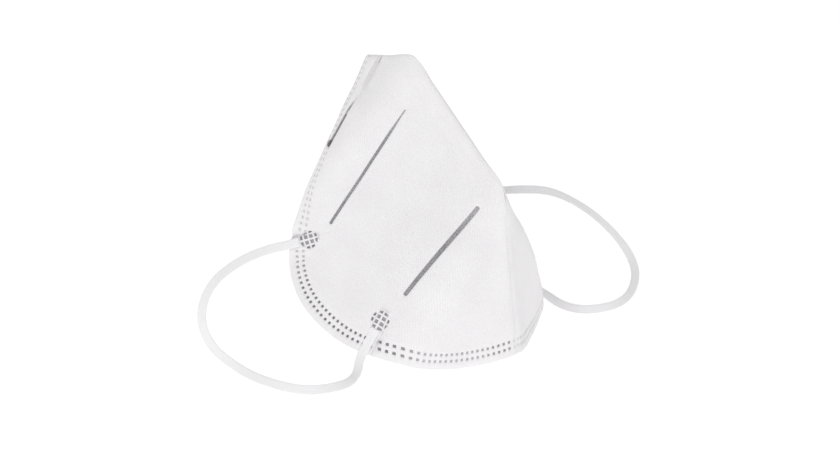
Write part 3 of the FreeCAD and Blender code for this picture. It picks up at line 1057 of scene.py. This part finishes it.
def bond_points(s, t, pitch_s, pitch_t, radius):
    """Two interleaved rows of small oval bond points; lengths in metres."""
    found = None
    for shift in (0.0, 0.5):
        x = ((s / pitch_s + shift + 100.0).fraction() - 0.5) * (pitch_s / radius)
        y = ((t / pitch_t + shift + 100.0).fraction() - 0.5) * (pitch_t / (radius * 0.72))
        point = 1 - (x * x + y * y).root().step(0.55, 1.25)
        found = point if found is None else found.at_least(point)
    return found


def segment_mask(s, t, first, last, width, thin=1.0):
    """1 on a round-ended pressed line of the blank, 0 off it; ends in millimetres."""
    a, b = np.array(first) * MM, np.array(last) * MM
    length = float(np.linalg.norm(b - a))
    way = (b - a) / length
    way_s, way_t = float(way[0]), float(way[1])
    x = s - float(a[0])
    y = t - float(a[1])
    along = (x * way_s + y * way_t).at_least(0.0).at_most(length)
    dx = x - along * way_s
    dy = y - along * way_t
    away = (dx * dx + dy * dy).root()
    share_along = along / length
    narrowed = (1 - share_along.step(0.0, 0.25)) * (width / 2 * (1 - thin) * MM)
    return 1 - (away + narrowed).step((width / 2 - 0.22) * MM, (width / 2 + 0.18) * MM), share_along


def patch_mask(s, t, patch):
    """The horn's grid of pressed squares round the end of an elastic."""
    cs, ct, angle = patch
    ax, ay = heading(angle), heading(angle + 90)
    x = (s - cs * MM) * float(ax[0]) + (t - ct * MM) * float(ax[1])
    y = (s - cs * MM) * float(ay[0]) + (t - ct * MM) * float(ay[1])
    found = 1 - (x * x + y * y).root().step((PATCH_RADIUS - 0.25) * MM, (PATCH_RADIUS + 0.1) * MM)
    pitch = PATCH_PITCH * MM
    for away in (x, y):
        off = ((away / pitch + 100.0).fraction() - 0.5).size() * pitch
        found = found * (1 - off.step((PATCH_DOT - 0.14) * MM, (PATCH_DOT + 0.10) * MM))
    return found


BOND_PITCH_S, BOND_PITCH_T, BOND_RADIUS = 0.00155, 0.00125, 0.00036
CLOTH_WHITE = (0.905, 0.893, 0.902)
CLOTH_SHADE = (0.868, 0.853, 0.866)
# The welds' near-black grey is partly their melted film and partly painted shade of the pressed pits.
FILM_AND_PIT_SHADE_GREY = (0.115, 0.11, 0.12)
# The ribs' grey is partly pressed weld film and partly painted shade of their grooves.
RIB_FILM_AND_SHADE_GREY = (0.19, 0.185, 0.20)


def nose_place(along, inward):
    """Point of the blank by its lengths from the bridge and in from the nose edge."""
    return BRIDGE_POINT + NOSE_WAY * along + NOSE_IN * inward


# Painted shade of the groove beside the clip: tight and dark low down, faint and wide at the bridge.
PAINTED_CREASE_SHADE = (0.13, 0.12, 0.135)
CREASE_TOP = nose_place(21.0, 6.1)
CREASE_END = nose_place(44.8, 2.8)
CREASE_LOW = nose_place(48.0, 2.3)
PAINTED_CREASE_LINES = (              # two ends, width, how dark
    (CREASE_TOP, CREASE_LOW, 1.1, 0.80),
    (CREASE_END, CREASE_LOW, 1.7, 0.80),
    (nose_place(20.5, 6.4), nose_place(-3.0, 9.4), 2.6, 0.15),
    (nose_place(0.6, 10.2), nose_place(3.0, 9.0), 0.8, 0.45),
)


def spunbond(name, outer):
    """Spunbond nonwoven: bond points, a web of fine fibres, melted film where it is welded, with painted
    shade in the weld pits and, on the outer cover, in the ribs and the groove beside the clip.
    """
    finish = Finish(
        name, CLOTH_WHITE, 0.78, Sheen_Weight=0.25, Sheen_Roughness=0.5, Specular_IOR_Level=0.3,
    )
    place = finish.attribute("blank_place")
    s, t, _ = finish.parts(place)
    weld = finish.attribute("weld", "Fac")
    points = bond_points(s, t, BOND_PITCH_S, BOND_PITCH_T, BOND_RADIUS)
    web = fibre_web(finish, place, 900.0, 0.035)
    cloud = finish.noise(place, 70.0, 3.0)
    mottle = finish.noise(place, 420.0, 4.0, 0.6)
    cloth = finish.mixed(cloud.step(0.3, 0.75), CLOTH_SHADE, CLOTH_WHITE)
    cloth = finish.mixed(points * 0.45, cloth, (0.79, 0.775, 0.79))
    cloth = finish.mixed(web * 0.35, cloth, (0.93, 0.92, 0.93))
    # Welds darkened: partly melted film, partly painted shade of the pits.
    film_and_pit_shade = weld
    height = 0.5 + web * 0.35 + mottle * 0.3 - points * 0.8
    if outer:
        stipple = finish.noise(place, 1900.0, 2.0, 0.5)
        for first, last, width, thin in RIBS:
            rib, along = segment_mask(s, t, first, last, width, thin)
            uneven = (stipple * 0.9 + cloud * 0.3).step(0.50, 0.72)
            # Rib grey: partly pressed weld film, partly painted shade of the groove.
            grey = rib * (0.55 + 0.15 * along.step(0.0, 0.4) + 0.30 * uneven)
            cloth = finish.mixed(grey, cloth, RIB_FILM_AND_SHADE_GREY)
            height = height - rib * (0.5 + stipple * 0.8)
        # The horn's squares take the same film grey and painted pit shade.
        for patch in PATCHES:
            film_and_pit_shade = film_and_pit_shade.at_least(patch_mask(s, t, patch) * 0.9)
        # Painted shade along the groove beside the clip.
        for first, last, width, dark in PAINTED_CREASE_LINES:
            line, along = segment_mask(s, t, first, last, width, 0.2)
            grey = line * (0.15 + 0.85 * along.step(0.0, 0.35)) * dark
            cloth = finish.mixed(grey, cloth, PAINTED_CREASE_SHADE)
    cloth = finish.mixed(film_and_pit_shade * (0.75 + mottle * 0.35), cloth, FILM_AND_PIT_SHADE_GREY)
    finish.set(Base_Color=cloth, Roughness=0.80 - film_and_pit_shade * 0.38 - points * 0.12)
    finish.bump(height, 0.55, 0.00012)
    return finish.material


def soft_ply(name, colour, shade, scale, rough):
    """Lofty or filter ply: an open tangle of fibres with cloudy thickness."""
    finish = Finish(name, colour, rough, Sheen_Weight=0.35, Sheen_Roughness=0.6, Specular_IOR_Level=0.2)
    place = finish.attribute("blank_place")
    web = fibre_web(finish, place, scale, 0.05)
    cloud = finish.noise(place, 160.0, 4.0)
    body = finish.mixed(cloud.step(0.3, 0.7), shade, colour)
    finish.set(
        Base_Color=finish.mixed(web * 0.4, body, (0.95, 0.94, 0.93)),
        Roughness=rough - web * 0.1,
    )
    finish.bump(web + cloud * 0.6, 0.6, 0.00015)
    return finish.material


STITCH = 0.00062


def knit_elastic():
    """Flat knitted elastic: lengthwise wales with small slanted stitches."""
    finish = Finish(
        "knit_elastic", (0.88, 0.87, 0.88), 0.72,
        Sheen_Weight=0.3, Sheen_Roughness=0.4, Specular_IOR_Level=0.35,
    )
    place = finish.attribute("band_place")
    along, across, _ = finish.parts(place)
    wale = BAND_WIDTH * MM / BAND_RIBS
    column = (across / wale + 50.0).fraction() - 0.5
    slant = (column.size() * 1.5 + along / STITCH + 10.0).fraction() - 0.5
    loop = 1 - (slant.size() * 2.0).step(0.35, 0.95)
    ridge = 1 - (column.size() * 2.0).step(0.3, 1.0)
    fuzz = finish.noise(place, 1800.0, 3.0)
    drift = finish.noise(place, 90.0, 2.0)
    weld = finish.attribute("weld", "Fac").step(0.25, 0.8)
    yarn = finish.mixed(loop * ridge, (0.86, 0.85, 0.86), (0.95, 0.94, 0.95))
    yarn = finish.mixed(drift * 0.25, yarn, (0.90, 0.89, 0.91))
    # Welded squares darkened: partly melted film, partly painted shade of the pressed pits.
    yarn = finish.mixed(weld * 0.85, yarn, (0.30, 0.29, 0.31))
    finish.set(Base_Color=yarn, Roughness=0.74 - ridge * 0.08 - weld * 0.3)
    finish.bump(loop * ridge + fuzz * 0.35, 0.6, 0.0001)
    return finish.material


def coated_strip():
    """White plastic coat over two wires, lightly scuffed."""
    finish = Finish("coated_strip", (0.86, 0.86, 0.87), 0.42, Specular_IOR_Level=0.5)
    place = finish.attribute("blank_place")
    scuff = finish.noise(place, 600.0, 5.0, 0.65)
    drag = finish.noise(place, 90.0, 2.0)
    finish.set(
        Base_Color=finish.mixed(drag, (0.80, 0.80, 0.82), (0.90, 0.90, 0.91)),
        Roughness=0.34 + scuff * 0.25,
    )
    finish.bump(scuff, 0.3, 0.00005)
    return finish.material


def make_materials():
    return {
        "outer_spunbond": spunbond("outer_spunbond", True),
        "inner_spunbond": spunbond("inner_spunbond", False),
        "meltblown": soft_ply("meltblown", (0.90, 0.90, 0.895), (0.85, 0.85, 0.85), 1600.0, 0.9),
        "hot_air_cotton": soft_ply("hot_air_cotton", (0.89, 0.88, 0.86), (0.82, 0.81, 0.79), 700.0, 0.95),
        "clip_strip": coated_strip(),
        "elastic": knit_elastic(),
    }


# ---------------- studio
FLOOR_HALF = 6.0
FLOOR_GLOW = 0.40
ROOM_LIGHT = 0.63
WHITE = (1.0, 1.0, 1.0, 1.0)
LIGHTS = (               # name, place, size, power
    ("front_light", (-0.30, -1.60, 0.50), 1.2, 4.3),
    ("left_light", (-1.60, 0.10, 0.80), 1.2, 6.4),
)
LIGHTS_AIM = (0, 0, 0.06)


def add_stage():
    """Pale floor, even white room and two soft lights."""
    floor_mesh = bpy.data.meshes.new("floor")
    r = FLOOR_HALF
    floor_mesh.from_pydata([(-r, -r, 0), (r, -r, 0), (r, r, 0), (-r, r, 0)], [], [(0, 1, 2, 3)])
    floor = added("floor", floor_mesh)
    finish = Finish(
        "pale_floor", (0.93, 0.93, 0.93), 0.7, Emission_Color=WHITE, Emission_Strength=FLOOR_GLOW,
    )
    floor_mesh.materials.append(finish.material)
    world = bpy.data.worlds.new("studio")
    bpy.context.scene.world = world
    world.use_nodes = True
    background = world.node_tree.nodes["Background"]
    background.inputs["Color"].default_value = WHITE
    background.inputs["Strength"].default_value = ROOM_LIGHT
    for name, place, size, power in LIGHTS:
        light = bpy.data.lights.new(name, "AREA")
        light.size = size
        light.energy = power
        lamp = added(name, light)
        lamp.location = place
        lamp.rotation_mode = "QUATERNION"
        lamp.rotation_quaternion = (Vector(LIGHTS_AIM) - Vector(place)).to_track_quat("-Z", "Y")
    bpy.context.scene.view_settings.view_transform = "Standard"


# ---------------- making
add_camera()
MATERIALS = make_materials()
LEFT_FACE = OUTWARD
RIGHT_FACE = OUTWARD * np.array([-1.0, 1.0, 1.0])
FRONT_LEFT = np.array([-0.73, -0.61, 0.31])
MOSTLY_UP = np.array([-0.42, -0.30, 0.86])
RIGHT_FACINGS = (
    (0.0, RIGHT_FACE), (0.10, RIGHT_FACE), (0.25, FRONT_LEFT), (0.36, MOSTLY_UP), (0.50, MOSTLY_UP),
    (0.60, FRONT_LEFT), (0.87, FRONT_LEFT), (0.97, RIGHT_FACE), (1.0, RIGHT_FACE),
)
flat_band("left_elastic_loop", LEFT_LOOP_ROUTE, ((0.0, LEFT_FACE), (1.0, LEFT_FACE)), MATERIALS)
flat_band("right_elastic_loop", RIGHT_LOOP_ROUTE, RIGHT_FACINGS, MATERIALS)
for side, mirrored in (("left", False), ("right", True)):
    for which, patch in zip(("upper", "lower"), PATCHES):
        band_end(side, which, patch, mirrored, MATERIALS)
    clip_wing(side, mirrored, MATERIALS)
build_plies(MATERIALS)
add_stage()
